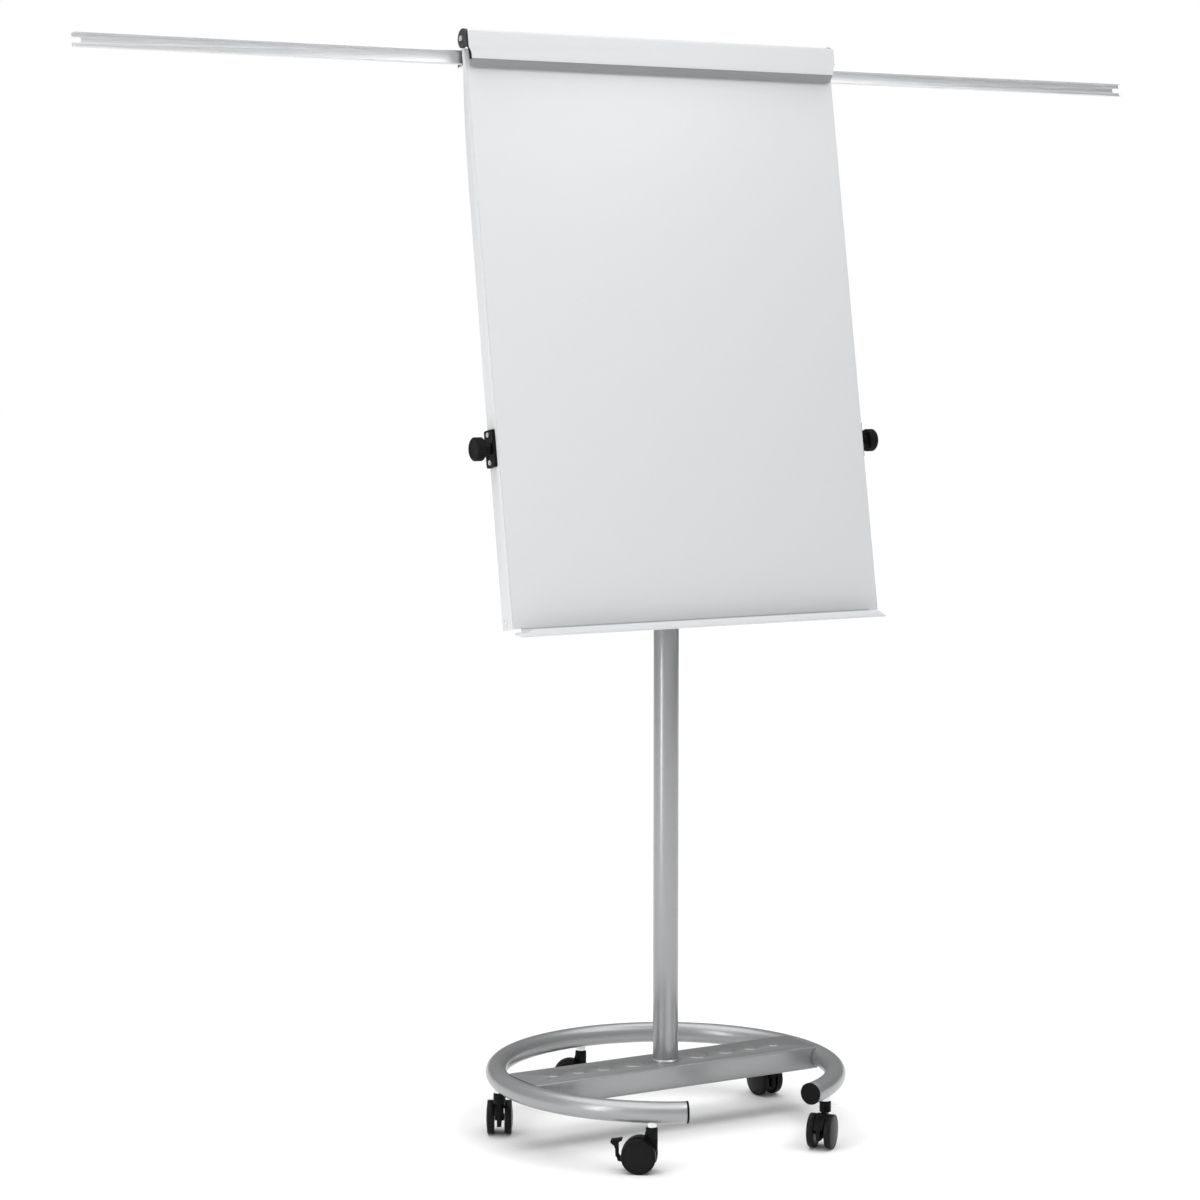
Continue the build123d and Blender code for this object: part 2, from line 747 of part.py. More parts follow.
with BuildPart() as clamp_pivot_screws:
    for side in (-1, 1):
        seat = Plane(
            origin=board_plane.from_local_coords(
                Vector(side * bracket_outer, clamp_pivot_height, -clamp_pivot_depth)
            ),
            z_dir=(side, 0, 0),
        )
        with BuildSketch(seat):
            Circle(4.4)
            RegularPolygon(radius=2.2, side_count=6, mode=Mode.SUBTRACT)
        extrude(amount=2.4)
        with BuildSketch(seat):
            Circle(pin_radius)
        extrude(amount=-(bracket_outer - pin_end))
clamp_pivot_screws.part.label = "clamp_pivot_screws"
export_step(clamp_pivot_screws.part, "parts/clamp_pivot_screws.step")

# ---- paper clamp ------------------------------------------------------------
clamp_line = clamp_front - clamp_sheet / 2
hood_start_angle = 75.0
hood_sweep = 125.0
hood_start = (
    -clamp_pivot_depth + hood_arc_radius * cos(radians(hood_start_angle)),
    clamp_pivot_height + hood_arc_radius * sin(radians(hood_start_angle)),
)
hood_slope = cos(radians(hood_start_angle)) / sin(radians(hood_start_angle))
clamp_corner = (clamp_line, hood_start[1] - (clamp_line - hood_start[0]) * hood_slope)
with BuildPart() as clamp_bar:
    with BuildSketch(side_plane(0)):
        with BuildLine():
            FilletPolyline(
                (clamp_line, clamp_lip_height), clamp_corner, hood_start, radius=3
            )
            CenterArc(
                (-clamp_pivot_depth, clamp_pivot_height),
                hood_arc_radius,
                hood_start_angle,
                hood_sweep,
            )
        trace(line_width=clamp_sheet)
    extrude(amount=board_half_width, both=True)
    for side in (-1, 1):
        with BuildSketch(face_plane(clamp_front - clamp_sheet - 0.1)):
            with Locations((side * (clamp_inner_half + 4), clamp_pivot_height)):
                Rectangle(8, 60)
        extrude(amount=-60, mode=Mode.SUBTRACT)
        with BuildSketch(face_plane(clamp_front + 1)):
            with BuildLine():
                Line((side * clamp_inner_half, 903), (side * clamp_inner_half, 912))
                ThreePointArc(
                    (side * clamp_inner_half, 912),
                    (side * (clamp_inner_half + 1.6), 918.5),
                    (side * (clamp_inner_half + 4.2), 923),
                )
                Polyline(
                    (side * (clamp_inner_half + 4.2), 923),
                    (side * (clamp_inner_half + 6), 923),
                    (side * (clamp_inner_half + 6), 903),
                    (side * clamp_inner_half, 903),
                )
            make_face()
        extrude(amount=-5, mode=Mode.SUBTRACT)
clamp_bar.part.label = "clamp_bar"
export_step(clamp_bar.part, "parts/clamp_bar.step")

strip_half_width = 344.0
strip_gap = 2.2              # between the strip's edge and the board, for the sheets
with BuildPart() as clamp_strip:
    with BuildSketch(side_plane(0)):
        with BuildLine():
            Polyline(
                (13.15, 917),
                (10.8, 917),
                (10.8, 909.5),
                (strip_gap, 896.2),
                (strip_gap + 1.7, 893.6),
                (14.9, 904.6),
                (13.15, 904.9),
                close=True,
            )
        make_face()
    extrude(amount=strip_half_width, both=True)
clamp_strip.part.label = "clamp_strip"
export_step(clamp_strip.part, "parts/clamp_strip.step")

plug_inner = pin_end + 0.5
with BuildPart() as clamp_end_left:
    with BuildSketch(side_plane(-plug_inner)):
        with Locations((-clamp_pivot_depth, clamp_pivot_height)):
            Circle(hood_arc_radius - clamp_sheet / 2 - 0.1)
        with Locations((5, 938)):
            Rectangle(16, 18)
    extrude(amount=clamp_inner_half - plug_inner)
    with BuildSketch(side_plane(-strip_half_width - 0.2)):
        with BuildLine():
            Polyline((1.5, 930), (1.5, 925))
            ThreePointArc((1.5, 925), (5.4, 914), (4.6, 905.4))
            Polyline((4.6, 905.4), (13.0, 905.4), (13.0, 930), (1.5, 930))
        make_face()
    extrude(amount=clamp_inner_half - strip_half_width - 0.2)
    with BuildSketch(side_plane(-plug_inner)):
        with Locations((-clamp_pivot_depth, clamp_pivot_height)):
            Circle(pin_radius + running_gap)
    extrude(amount=clamp_inner_half - plug_inner, mode=Mode.SUBTRACT)
with BuildPart() as clamp_end_right:
    mirror(clamp_end_left.part, about=Plane.YZ)

paired = {
    "tilt_knob_left": tilt_knob_left,
    "tilt_knob_right": tilt_knob_right,
    "tilt_stud_left": tilt_stud_left,
    "tilt_stud_right": tilt_stud_right,
    "side_flange_left": side_flange_left,
    "side_flange_right": side_flange_right,
    "pivot_plate_left": pivot_plate_left,
    "pivot_plate_right": pivot_plate_right,
    "hinge_bracket_left": hinge_bracket_left,
    "hinge_bracket_right": hinge_bracket_right,
    "clamp_end_left": clamp_end_left,
    "clamp_end_right": clamp_end_right,
}
for label, piece in paired.items():
    piece.part.label = label
    export_step(piece.part, f"parts/{label}.step")


# ---- castors ----------------------------------------------------------------
def castor_frame(name):
    """Plane under a castor's stem: x along its heading, y along its axle, z up."""
    angle = radians(castor_angles[name])
    heading = radians(castor_headings[name])
    return Plane(
        origin=(ring_radius * cos(angle), column_y + ring_radius * sin(angle), 0),
        x_dir=(cos(heading), sin(heading), 0),
        z_dir=(0, 0, 1),
    )


def castor_section(name):
    """Plane through the stem, across the axle: x along the heading, y up."""
    base = castor_frame(name)
    return Plane(origin=base.origin, x_dir=base.x_dir, z_dir=-base.y_dir)


def stem_level(name, z):
    """Horizontal plane centred on one castor's stem."""
    base = castor_frame(name)
    return Plane(origin=base.origin + Vector(0, 0, z), x_dir=base.x_dir, z_dir=(0, 0, 1))


stem_foot = 57.0
housing_bottom = 55.5
stem_head = ring_bottom + 7.0
with BuildPart() as castor_stems:
    for name in castor_angles:
        with BuildSketch(stem_level(name, stem_foot)):
            Circle(stem_radius)
        extrude(amount=housing_top + 1 - stem_foot)
        with BuildSketch(stem_level(name, housing_top + 0.6)):
            Circle(stem_collar_radius)
        extrude(amount=stem_head - housing_top - 0.6)
castor_stems.part.label = "castor_stems"
export_step(castor_stems.part, "parts/castor_stems.step")

lever_pivot = (castor_trail + 31.5, 20.5)
lever_pin_radius = 2.0
lug_radius = 3.8
tongue_half = 1.7


def castor_body(name):
    """Swivel housing: stem socket and a web between the wheels, with an arched fender."""
    section = castor_section(name)
    with BuildPart() as body:
        with BuildSketch(section):
            with Locations((castor_trail, wheel_radius)):
                Circle(fender_radius)
            with Locations((castor_trail, 0)):
                Rectangle(3 * fender_radius, 34, mode=Mode.SUBTRACT)
            with BuildLine():
                Polyline(
                    (-housing_radius, 66),
                    (-housing_radius, 42),
                    (castor_trail - fender_radius + 3, 20),
                    (castor_trail, wheel_radius),
                    (housing_radius, 66),
                    close=True,
                )
            make_face()
        extrude(amount=web_half, both=True)
        with BuildSketch(section):
            with Locations((castor_trail, wheel_radius)):
                Circle(fender_radius)
                Circle(fender_radius - fender_thickness, mode=Mode.SUBTRACT)
            with Locations((castor_trail, 10)):
                Rectangle(3 * fender_radius, 50, mode=Mode.SUBTRACT)
        extrude(amount=fender_half_width, both=True)
        with BuildSketch(stem_level(name, housing_bottom)):
            Circle(housing_radius)
        extrude(amount=housing_top - housing_bottom)
        chamfer(body.edges().filter_by(GeomType.CIRCLE).group_by(Axis.Z)[-1], length=1)
        with BuildSketch(section):
            with Locations((castor_trail, wheel_radius)):
                Circle(axle_radius + 3.5)
        extrude(amount=fender_half_width, both=True)
        if name in braked_castors:
            with BuildSketch(section):
                with Locations(lever_pivot):
                    Circle(lug_radius)
                with BuildLine():
                    Polyline(
                        (lever_pivot[0], lever_pivot[1] - lug_radius),
                        (lever_pivot[0] - 10, lever_pivot[1] - 3.5),
                        (lever_pivot[0] - 10, lever_pivot[1] + 10),
                        (lever_pivot[0] + 1, lever_pivot[1] + lug_radius - 0.2),
                        close=True,
                    )
                make_face()
            extrude(amount=web_half, both=True)
            with BuildSketch(section):
                with Locations(lever_pivot):
                    Circle(lug_radius + 0.6)
                    with Locations((2, 6)):
                        Rectangle(11, 14)
            extrude(amount=tongue_half + 0.3, both=True, mode=Mode.SUBTRACT)
            with BuildSketch(section):
                with Locations(lever_pivot):
                    Circle(lever_pin_radius + running_gap)
            extrude(amount=web_half + 1, both=True, mode=Mode.SUBTRACT)
        with BuildSketch(section):
            with Locations((castor_trail, wheel_radius)):
                Circle(axle_radius)
        extrude(amount=fender_half_width + 1, both=True, mode=Mode.SUBTRACT)
        with BuildSketch(stem_level(name, stem_foot - 0.3)):
            Circle(stem_radius + running_gap)
        extrude(amount=housing_top, mode=Mode.SUBTRACT)
    return body


def castor_axle(name):
    with BuildPart() as axle:
        with BuildSketch(castor_section(name)):
            with Locations((castor_trail, wheel_radius)):
                Circle(axle_radius)
        extrude(amount=wheel_gap / 2 + wheel_width - 1, both=True)
    return axle


def castor_wheels(name):
    """The pair of wheels: flat treads with rounded shoulders and bowed outer faces."""
    base = castor_frame(name)
    axle_point = base.from_local_coords(Vector(castor_trail, 0, wheel_radius))
    inner = wheel_gap / 2
    outer = inner + wheel_width
    with BuildPart() as wheels:
        for side in (-1, 1):
            section = Plane(origin=axle_point, x_dir=base.y_dir * side, z_dir=base.x_dir * side)
            with BuildSketch(section):
                with BuildLine():
                    Polyline((outer + dish_bulge, 0), (inner, 0), (inner, wheel_radius - 2))
                    ThreePointArc(
                        (inner, wheel_radius - 2),
                        (inner + 0.586, wheel_radius - 0.586),
                        (inner + 2, wheel_radius),
                    )
                    Line((inner + 2, wheel_radius), (outer - 3, wheel_radius))
                    ThreePointArc(
                        (outer - 3, wheel_radius),
                        (outer - 0.879, wheel_radius - 0.879),
                        (outer, wheel_radius - 3),
                    )
                    TangentArc(
                        (outer + dish_bulge, 0), (outer, wheel_radius - 3), tangent=(0, 1)
                    )
                make_face()
            revolve(axis=Axis(axle_point, base.y_dir))
            inner_face = Plane(origin=axle_point + base.y_dir * (side * inner), z_dir=base.y_dir * side)
            with BuildSketch(inner_face):
                Circle(axle_radius + running_gap)
            extrude(amount=wheel_width, mode=Mode.SUBTRACT)
    return wheels


def brake_lever(name):
    """Foot lever on the far side of a castor, standing up when released."""
    px, pz = lever_pivot
    head = ((2.0, 23), (9.0, 23), (14.5, 28), (13.8, 30.8), (7, 31.6), (-3.6, 33.4), (-4.2, 31.2), (1, 28.5))
    neck = ((1.6, 6.5), (6.4, 4.5), (6.8, 17), (9.0, 23), (2.0, 23))
    tongue = ((-2.4, 2.4), (2.4, -2.4), (6.4, 4.5), (6.4, 9), (1.6, 9))
    with BuildPart() as lever:
        for outline, half_width in ((head, 9.0), (neck, 6.0), (tongue, tongue_half)):
            with BuildSketch(castor_section(name)):
                with BuildLine():
                    Polyline(*[(px + x, pz + z) for x, z in outline], close=True)
                make_face()
            extrude(amount=half_width, both=True)
        with BuildSketch(castor_section(name)):
            with Locations(lever_pivot):
                Circle(lug_radius - 0.4)
        extrude(amount=tongue_half, both=True)
        with BuildSketch(castor_section(name)):
            with Locations(lever_pivot):
                Circle(lever_pin_radius)
        extrude(amount=web_half, both=True)
    return lever


for name in castor_angles:
    pieces = {
        "body": castor_body(name),
        "axle": castor_axle(name),
        "wheels": castor_wheels(name),
    }
    if name in braked_castors:
        pieces["lever"] = brake_lever(name)
    for kind, piece in pieces.items():
        piece.part.label = f"castor_{name}_{kind}"
        export_step(piece.part, f"parts/castor_{name}_{kind}.step")
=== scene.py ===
# %% [markdown]
# # A mobile flipchart easel
#
# This notebook dresses a finished CAD model of a flipchart easel: a tilting white board with a
# paper clamp and two pull-out arms, on a column that stands in an open ring with five castors.
# The CAD model arrives as a fixed frame.  Every finish, and the few pieces that a milling-shop
# model leaves too plain, are made here.

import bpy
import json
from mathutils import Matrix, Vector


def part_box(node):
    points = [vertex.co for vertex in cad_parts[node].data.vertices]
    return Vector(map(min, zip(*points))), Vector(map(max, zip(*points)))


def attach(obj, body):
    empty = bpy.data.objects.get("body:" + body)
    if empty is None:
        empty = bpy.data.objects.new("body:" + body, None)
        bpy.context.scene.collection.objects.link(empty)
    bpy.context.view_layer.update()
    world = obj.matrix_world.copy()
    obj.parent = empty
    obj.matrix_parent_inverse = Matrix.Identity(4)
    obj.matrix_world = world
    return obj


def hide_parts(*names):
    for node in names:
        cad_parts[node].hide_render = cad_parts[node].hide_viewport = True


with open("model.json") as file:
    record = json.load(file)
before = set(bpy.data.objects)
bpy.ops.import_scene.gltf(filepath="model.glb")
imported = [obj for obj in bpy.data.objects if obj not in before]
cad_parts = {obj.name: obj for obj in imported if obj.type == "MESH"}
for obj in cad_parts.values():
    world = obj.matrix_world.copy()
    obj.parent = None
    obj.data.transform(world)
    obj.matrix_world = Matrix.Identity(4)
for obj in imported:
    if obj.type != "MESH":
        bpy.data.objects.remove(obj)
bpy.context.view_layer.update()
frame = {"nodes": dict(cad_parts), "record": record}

# %% Modules and measures
import json
import math

import bmesh
import bpy
from mathutils import Matrix, Vector

record = frame["record"]
slot_of = {row["node"]: row["material_slot"] for row in record["subparts"]}

# %% [markdown]
# ## Building blocks for finishes
#
# Real surfaces are never one even colour.  Paint is a little thicker here and there, moulded
# plastic has a spark-eroded grain, drawn aluminium has fine lines.  Each of these effects could
# be copied into every material, but a shader node group is built once, has named inputs, and is
# then placed wherever it is wanted with its own values.

# %% Helpers for node groups
NOISE_LOW = 0.3     # a noise hardly ever leaves the band between these two
NOISE_HIGH = 0.7


def new_group(name, inputs, outputs):
    """An empty shader node group with the named float or colour sockets."""
    group = bpy.data.node_groups.new(name, "ShaderNodeTree")
    kinds = {"value": "NodeSocketFloat", "colour": "NodeSocketColor", "vector": "NodeSocketVector"}
    for label, kind, default in inputs:
        socket = group.interface.new_socket(label, in_out="INPUT", socket_type=kinds[kind])
        if default is not None:
            socket.default_value = default
    for label, kind in outputs:
        group.interface.new_socket(label, in_out="OUTPUT", socket_type=kinds[kind])
    return group, group.nodes.new("NodeGroupInput"), group.nodes.new("NodeGroupOutput")


def noise(tree, vector, scale, detail=3.0, roughness=0.55):
    """A noise texture on the given coordinates; returns its value socket."""
    node = tree.nodes.new("ShaderNodeTexNoise")
    tree.links.new(vector, node.inputs["Vector"])
    if isinstance(scale, (int, float)):
        node.inputs["Scale"].default_value = scale
    else:
        tree.links.new(scale, node.inputs["Scale"])
    node.inputs["Detail"].default_value = detail
    node.inputs["Roughness"].default_value = roughness
    return node.outputs["Fac"]


def spread(tree, value, low_in, high_in, low_out, high_out):
    """Maps a value from one range to another, clamped."""
    node = tree.nodes.new("ShaderNodeMapRange")
    tree.links.new(value, node.inputs["Value"])
    pairs = (("From Min", low_in), ("From Max", high_in), ("To Min", low_out), ("To Max", high_out))
    for label, amount in pairs:
        if isinstance(amount, (int, float)):
            node.inputs[label].default_value = amount
        else:
            tree.links.new(amount, node.inputs[label])
    return node.outputs["Result"]


def arithmetic(tree, operation, *terms):
    """A Math node; each of its terms may be a socket or a number."""
    node = tree.nodes.new("ShaderNodeMath")
    node.operation = operation
    for socket, item in zip(node.inputs, terms):
        if isinstance(item, (int, float)):
            socket.default_value = item
        else:
            tree.links.new(item, socket)
    return node.outputs["Value"]


def wander(tree, value, middle, half_range):
    """Spreads a noise over middle - half_range to middle + half_range."""
    low = arithmetic(tree, "SUBTRACT", middle, half_range)
    high = arithmetic(tree, "ADD", middle, half_range)
    return spread(tree, value, NOISE_LOW, NOISE_HIGH, low, high)


print("helpers ready")

# %% [markdown]
# ### Uneven tone
#
# A coat of paint, or a moulding, is slightly lighter and darker in broad patches, and its gloss
# wanders a little with them.  Two noises of different size are enough.  The group gives out a
# tinted colour and a roughness, so one placement feeds both sockets of the shader.

# %% Uneven tone group
def make_uneven_tone():
    group, ins, outs = new_group(
        "uneven_tone",
        (
            ("Vector", "vector", None),
            ("Colour", "colour", (0.8, 0.8, 0.8, 1)),
            ("Amount", "value", 0.05),
            ("Patch Scale", "value", 6.0),
            ("Roughness", "value", 0.4),
            ("Roughness Spread", "value", 0.06),
        ),
        (("Colour", "colour"), ("Roughness", "value")),
    )
    broad = noise(group, ins.outputs["Vector"], ins.outputs["Patch Scale"], detail=2.0)
    finer_scale = arithmetic(group, "MULTIPLY", ins.outputs["Patch Scale"], 9.0)
    finer = noise(group, ins.outputs["Vector"], finer_scale, detail=4.0)
    blend = arithmetic(group, "ADD", broad, arithmetic(group, "MULTIPLY", finer, 0.5))
    centred = arithmetic(group, "SUBTRACT", blend, 0.75)
    tone = arithmetic(group, "MULTIPLY_ADD", centred, ins.outputs["Amount"], 1.0)
    scaled = group.nodes.new("ShaderNodeVectorMath")
    scaled.operation = "SCALE"
    group.links.new(ins.outputs["Colour"], scaled.inputs[0])
    group.links.new(tone, scaled.inputs["Scale"])
    group.links.new(scaled.outputs["Vector"], outs.inputs["Colour"])
    gloss = wander(group, finer, ins.outputs["Roughness"], ins.outputs["Roughness Spread"])
    group.links.new(gloss, outs.inputs["Roughness"])
    return group


uneven_tone = make_uneven_tone()
print("group:", uneven_tone.name)

# %% [markdown]
# ### Fine grain
#
# Powder coat dries to a faint orange-peel, and moulds for plastic parts are etched so that small
# scratches don't show.  Both are a height that goes up and down at a fraction of a millimetre.
# Noise gives the soft roll of paint, and Voronoi cells give the pebbles of an etched mould; the
# group mixes the two by one input.

# %% Fine grain group
def make_fine_grain():
    group, ins, outs = new_group(
        "fine_grain",
        (("Vector", "vector", None), ("Grain Scale", "value", 900.0), ("Pebble", "value", 0.5)),
        (("Height", "value"),),
    )
    roll = noise(group, ins.outputs["Vector"], ins.outputs["Grain Scale"], detail=2.0)
    cells = group.nodes.new("ShaderNodeTexVoronoi")
    group.links.new(ins.outputs["Vector"], cells.inputs["Vector"])
    group.links.new(ins.outputs["Grain Scale"], cells.inputs["Scale"])
    pebbles = arithmetic(group, "MULTIPLY", cells.outputs["Distance"], ins.outputs["Pebble"])
    smooth_share = arithmetic(group, "SUBTRACT", 1.0, ins.outputs["Pebble"])
    rolls = arithmetic(group, "MULTIPLY", roll, smooth_share)
    group.links.new(arithmetic(group, "ADD", pebbles, rolls), outs.inputs["Height"])
    return group


fine_grain = make_fine_grain()
print("group:", fine_grain.name)

# %% [markdown]
# ### Drawn lines
#
# Extruded and drawn metal carries fine lines along its length.  A noise whose coordinates are
# squeezed along one direction turns into streaks.  The Mapping node does the squeezing, and the
# streaks drive both the height and the roughness.

# %% Drawn lines group
def make_drawn_lines():
    group, ins, outs = new_group(
        "drawn_lines",
        (
            ("Vector", "vector", None),
            ("Line Scale", "value", 700.0),
            ("Roughness", "value", 0.35),
            ("Roughness Spread", "value", 0.1),
        ),
        (("Height", "value"), ("Roughness", "value"), ("Mask", "value")),
    )
    streaks = noise(group, ins.outputs["Vector"], ins.outputs["Line Scale"], detail=3.0)
    gloss = wander(group, streaks, ins.outputs["Roughness"], ins.outputs["Roughness Spread"])
    group.links.new(streaks, outs.inputs["Height"])
    group.links.new(streaks, outs.inputs["Mask"])
    group.links.new(gloss, outs.inputs["Roughness"])
    return group


drawn_lines = make_drawn_lines()
print("group:", drawn_lines.name)

# %% A helper that starts a finish
def start_finish(name, stretch=(1, 1, 1)):
    """A material with a Principled shader and a Mapping node on Object coordinates."""
    material = bpy.data.materials.new(name)
    material.use_nodes = True
    tree = material.node_tree
    shader = next(node for node in tree.nodes if node.type == "BSDF_PRINCIPLED")
    coordinates = tree.nodes.new("ShaderNodeTexCoord")
    mapping = tree.nodes.new("ShaderNodeMapping")
    mapping.inputs["Scale"].default_value = stretch
    tree.links.new(coordinates.outputs["Object"], mapping.inputs["Vector"])
    return material, tree, shader, mapping.outputs["Vector"]


def place_group(tree, group, vector, **values):
    """Places a node group on the coordinates and sets its named inputs."""
    node = tree.nodes.new("ShaderNodeGroup")
    node.node_tree = group
    tree.links.new(vector, node.inputs["Vector"])
    for label, amount in values.items():
        node.inputs[label.replace("_", " ")].default_value = amount
    return node


def relief(tree, shader, height, distance, strength=1.0):
    """Feeds a height to the shader's normal through a Bump node; distance is in metres."""
    bump = tree.nodes.new("ShaderNodeBump")
    bump.inputs["Strength"].default_value = strength
    bump.inputs["Distance"].default_value = distance
    tree.links.new(height, bump.inputs["Height"])
    tree.links.new(bump.outputs["Normal"], shader.inputs["Normal"])


def grained_finish(
    name, colour, amount, patch, roughness, rough_spread, grain, pebble, depth, **sockets
):
    """Paint or plastic: uneven tone for colour and gloss, fine grain for the bump."""
    material, tree, shader, vector = start_finish(name)
    tone = place_group(
        tree, uneven_tone, vector, Colour=(*colour, 1), Amount=amount, Patch_Scale=patch,
        Roughness=roughness, Roughness_Spread=rough_spread,
    )
    tree.links.new(tone.outputs["Colour"], shader.inputs["Base Color"])
    tree.links.new(tone.outputs["Roughness"], shader.inputs["Roughness"])
    texture = place_group(tree, fine_grain, vector, Grain_Scale=grain, Pebble=pebble)
    relief(tree, shader, texture.outputs["Height"], depth)
    for label, value in sockets.items():
        shader.inputs[label.replace("_", " ")].default_value = value
    return material


print("finish helpers ready")

# %% [markdown]
# ## Finishes
#
# The board's face is lacquered steel: magnets hold on it and dry markers wipe off, so it is
# smooth, with a clear coat over white.  The folded frame around it has a plain powder coat,
# which is a little softer in gloss and rolls like orange peel.

# %% White finishes
board_lacquer = grained_finish(
    "board_lacquer", (0.63, 0.641, 0.65),
    amount=0.008, patch=2.5, roughness=0.40, rough_spread=0.012,
    grain=90.0, pebble=0.0, depth=0.00001,
    Coat_Weight=0.2, Coat_Roughness=0.35,
)
frame_powder = grained_finish(
    "frame_powder", (0.635, 0.645, 0.655),
    amount=0.02, patch=5.0, roughness=0.42, rough_spread=0.05,
    grain=600.0, pebble=0.1, depth=0.00004,
)
print("white finishes:", board_lacquer.name, frame_powder.name)

# %% [markdown]
# The column, the ring and its beam are painted silver: metal flakes in a grey lacquer under a
# clear coat.  It could be a plain metal, but paint scatters more light than bare steel does, so
# the metallic share is kept below one and a very fine noise makes the flakes twinkle.

# %% Silver paint
def make_silver_paint():
    material, tree, shader, vector = start_finish("silver_paint")
    tone = place_group(
        tree, uneven_tone, vector, Colour=(0.335, 0.34, 0.345, 1), Amount=0.05, Patch_Scale=9.0,
        Roughness=0.32, Roughness_Spread=0.04,
    )
    flakes = noise(tree, vector, 2600.0, detail=1.0)
    sparkle = spread(tree, flakes, 0.35, 0.65, 0.9, 1.12)
    tinted = tree.nodes.new("ShaderNodeVectorMath")
    tinted.operation = "SCALE"
    tree.links.new(tone.outputs["Colour"], tinted.inputs[0])
    tree.links.new(sparkle, tinted.inputs["Scale"])
    tree.links.new(tinted.outputs["Vector"], shader.inputs["Base Color"])
    tree.links.new(tone.outputs["Roughness"], shader.inputs["Roughness"])
    texture = place_group(tree, fine_grain, vector, Grain_Scale=500.0, Pebble=0.0)
    relief(tree, shader, texture.outputs["Height"], 0.00003)
    shader.inputs["Metallic"].default_value = 0.6
    shader.inputs["Coat Weight"].default_value = 0.25
    shader.inputs["Coat Roughness"].default_value = 0.15
    return material


silver_paint = make_silver_paint()
print("finish:", silver_paint.name)

# %% [markdown]
# The arms and the rail they run in are extruded aluminium, anodised to a satin.  The lines of
# the extrusion die run along the arms, which is along X, so the coordinates are squeezed
# heavily in X before they reach the noise.

# %% Aluminium, chrome and zinc
def make_drawn_metal(name, colour, stretch, line_scale, roughness, rough_spread, depth):
    material, tree, shader, vector = start_finish(name, stretch)
    lines = place_group(
        tree, drawn_lines, vector, Line_Scale=line_scale,
        Roughness=roughness, Roughness_Spread=rough_spread,
    )
    shades = tree.nodes.new("ShaderNodeValToRGB")
    shades.color_ramp.elements[0].position = NOISE_LOW
    shades.color_ramp.elements[1].position = NOISE_HIGH
    shades.color_ramp.elements[0].color = (*[c * 0.93 for c in colour], 1)
    shades.color_ramp.elements[1].color = (*[min(1.0, c * 1.05) for c in colour], 1)
    tree.links.new(lines.outputs["Mask"], shades.inputs["Fac"])
    tree.links.new(shades.outputs["Color"], shader.inputs["Base Color"])
    tree.links.new(lines.outputs["Roughness"], shader.inputs["Roughness"])
    relief(tree, shader, lines.outputs["Height"], depth)
    shader.inputs["Metallic"].default_value = 1.0
    return material


arm_aluminium = make_drawn_metal(
    "arm_aluminium", (0.74, 0.75, 0.76), (0.02, 1, 1), 900.0, 0.46, 0.06, 0.00001
)
chrome_plate = make_drawn_metal(
    "chrome_plate", (0.72, 0.73, 0.74), (1, 1, 0.05), 300.0, 0.10, 0.04, 0.000004
)
zinc_steel = make_drawn_metal(
    "zinc_steel", (0.82, 0.82, 0.81), (1, 1, 1), 1500.0, 0.32, 0.08, 0.00001
)
print("metals:", arm_aluminium.name, chrome_plate.name, zinc_steel.name)

# %% [markdown]
# Plastic comes in four sorts here: the black mouldings with an etched grain, the darker and
# glossier nylon of the wheels, the grey hinge brackets, and the soft grey strip which grips the
# paper.  They share one recipe and differ in their values.

# %% Plastics
black_moulding = grained_finish(
    "black_moulding", (0.0045, 0.0045, 0.005),
    amount=0.25, patch=12.0, roughness=0.45, rough_spread=0.06,
    grain=1100.0, pebble=0.7, depth=0.00005,
    Specular_IOR_Level=0.10,
)
wheel_nylon = grained_finish(
    "wheel_nylon", (0.005, 0.005, 0.0055),
    amount=0.35, patch=30.0, roughness=0.36, rough_spread=0.08,
    grain=700.0, pebble=0.3, depth=0.00002,
    Specular_IOR_Level=0.14,
)
bracket_plastic = grained_finish(
    "bracket_plastic", (0.032, 0.032, 0.034),
    amount=0.15, patch=12.0, roughness=0.45, rough_spread=0.06,
    grain=1100.0, pebble=0.6, depth=0.00004,
)
grip_rubber = grained_finish(
    "grip_rubber", (0.25, 0.25, 0.255),
    amount=0.15, patch=8.0, roughness=0.6, rough_spread=0.08,
    grain=800.0, pebble=0.4, depth=0.00005,
)
print("plastics:", black_moulding.name, wheel_nylon.name, bracket_plastic.name, grip_rubber.name)

# %% [markdown]
# ## Dressing the CAD nodes
#
# Each node of the frame names a material slot in its record.  One table turns slots into the
# finishes above, and a loop puts them on.  The CAD meshes themselves are left untouched.

# %% Finishes on nodes
finish_of_slot = {
    "board_white": board_lacquer,
    "frame_white": frame_powder,
    "silver_paint": silver_paint,
    "arm_aluminium": arm_aluminium,
    "chrome": chrome_plate,
    "steel": zinc_steel,
    "black_plastic": black_moulding,
    "wheel_black": wheel_nylon,
    "bracket_grey": bracket_plastic,
    "strip_grey": grip_rubber,
}


def dress(piece, finish):
    """Puts one finish on every material slot of a piece."""
    if not piece.data.materials:
        piece.data.materials.append(finish)
    for index in range(len(piece.data.materials)):
        piece.data.materials[index] = finish


for node_name, node in frame["nodes"].items():
    dress(node, finish_of_slot[slot_of[node_name]])
print("dressed", len(frame["nodes"]), "nodes")

# %% [markdown]
# ## Broken edges
#
# No real edge is knife sharp: folded steel has a bend radius, a moulding has a rounded rim, and
# a sawn edge is broken with a file before it is painted.  Those small radii are what catches
# the light along an edge.  A Bevel modifier could do it, but the CAD meshes arrive as loose
# triangles, so each is first copied, merged and cleaned of the needless edges inside its flat
# faces.  The bevel operator then rounds only the edges that turn by more than thirty degrees.

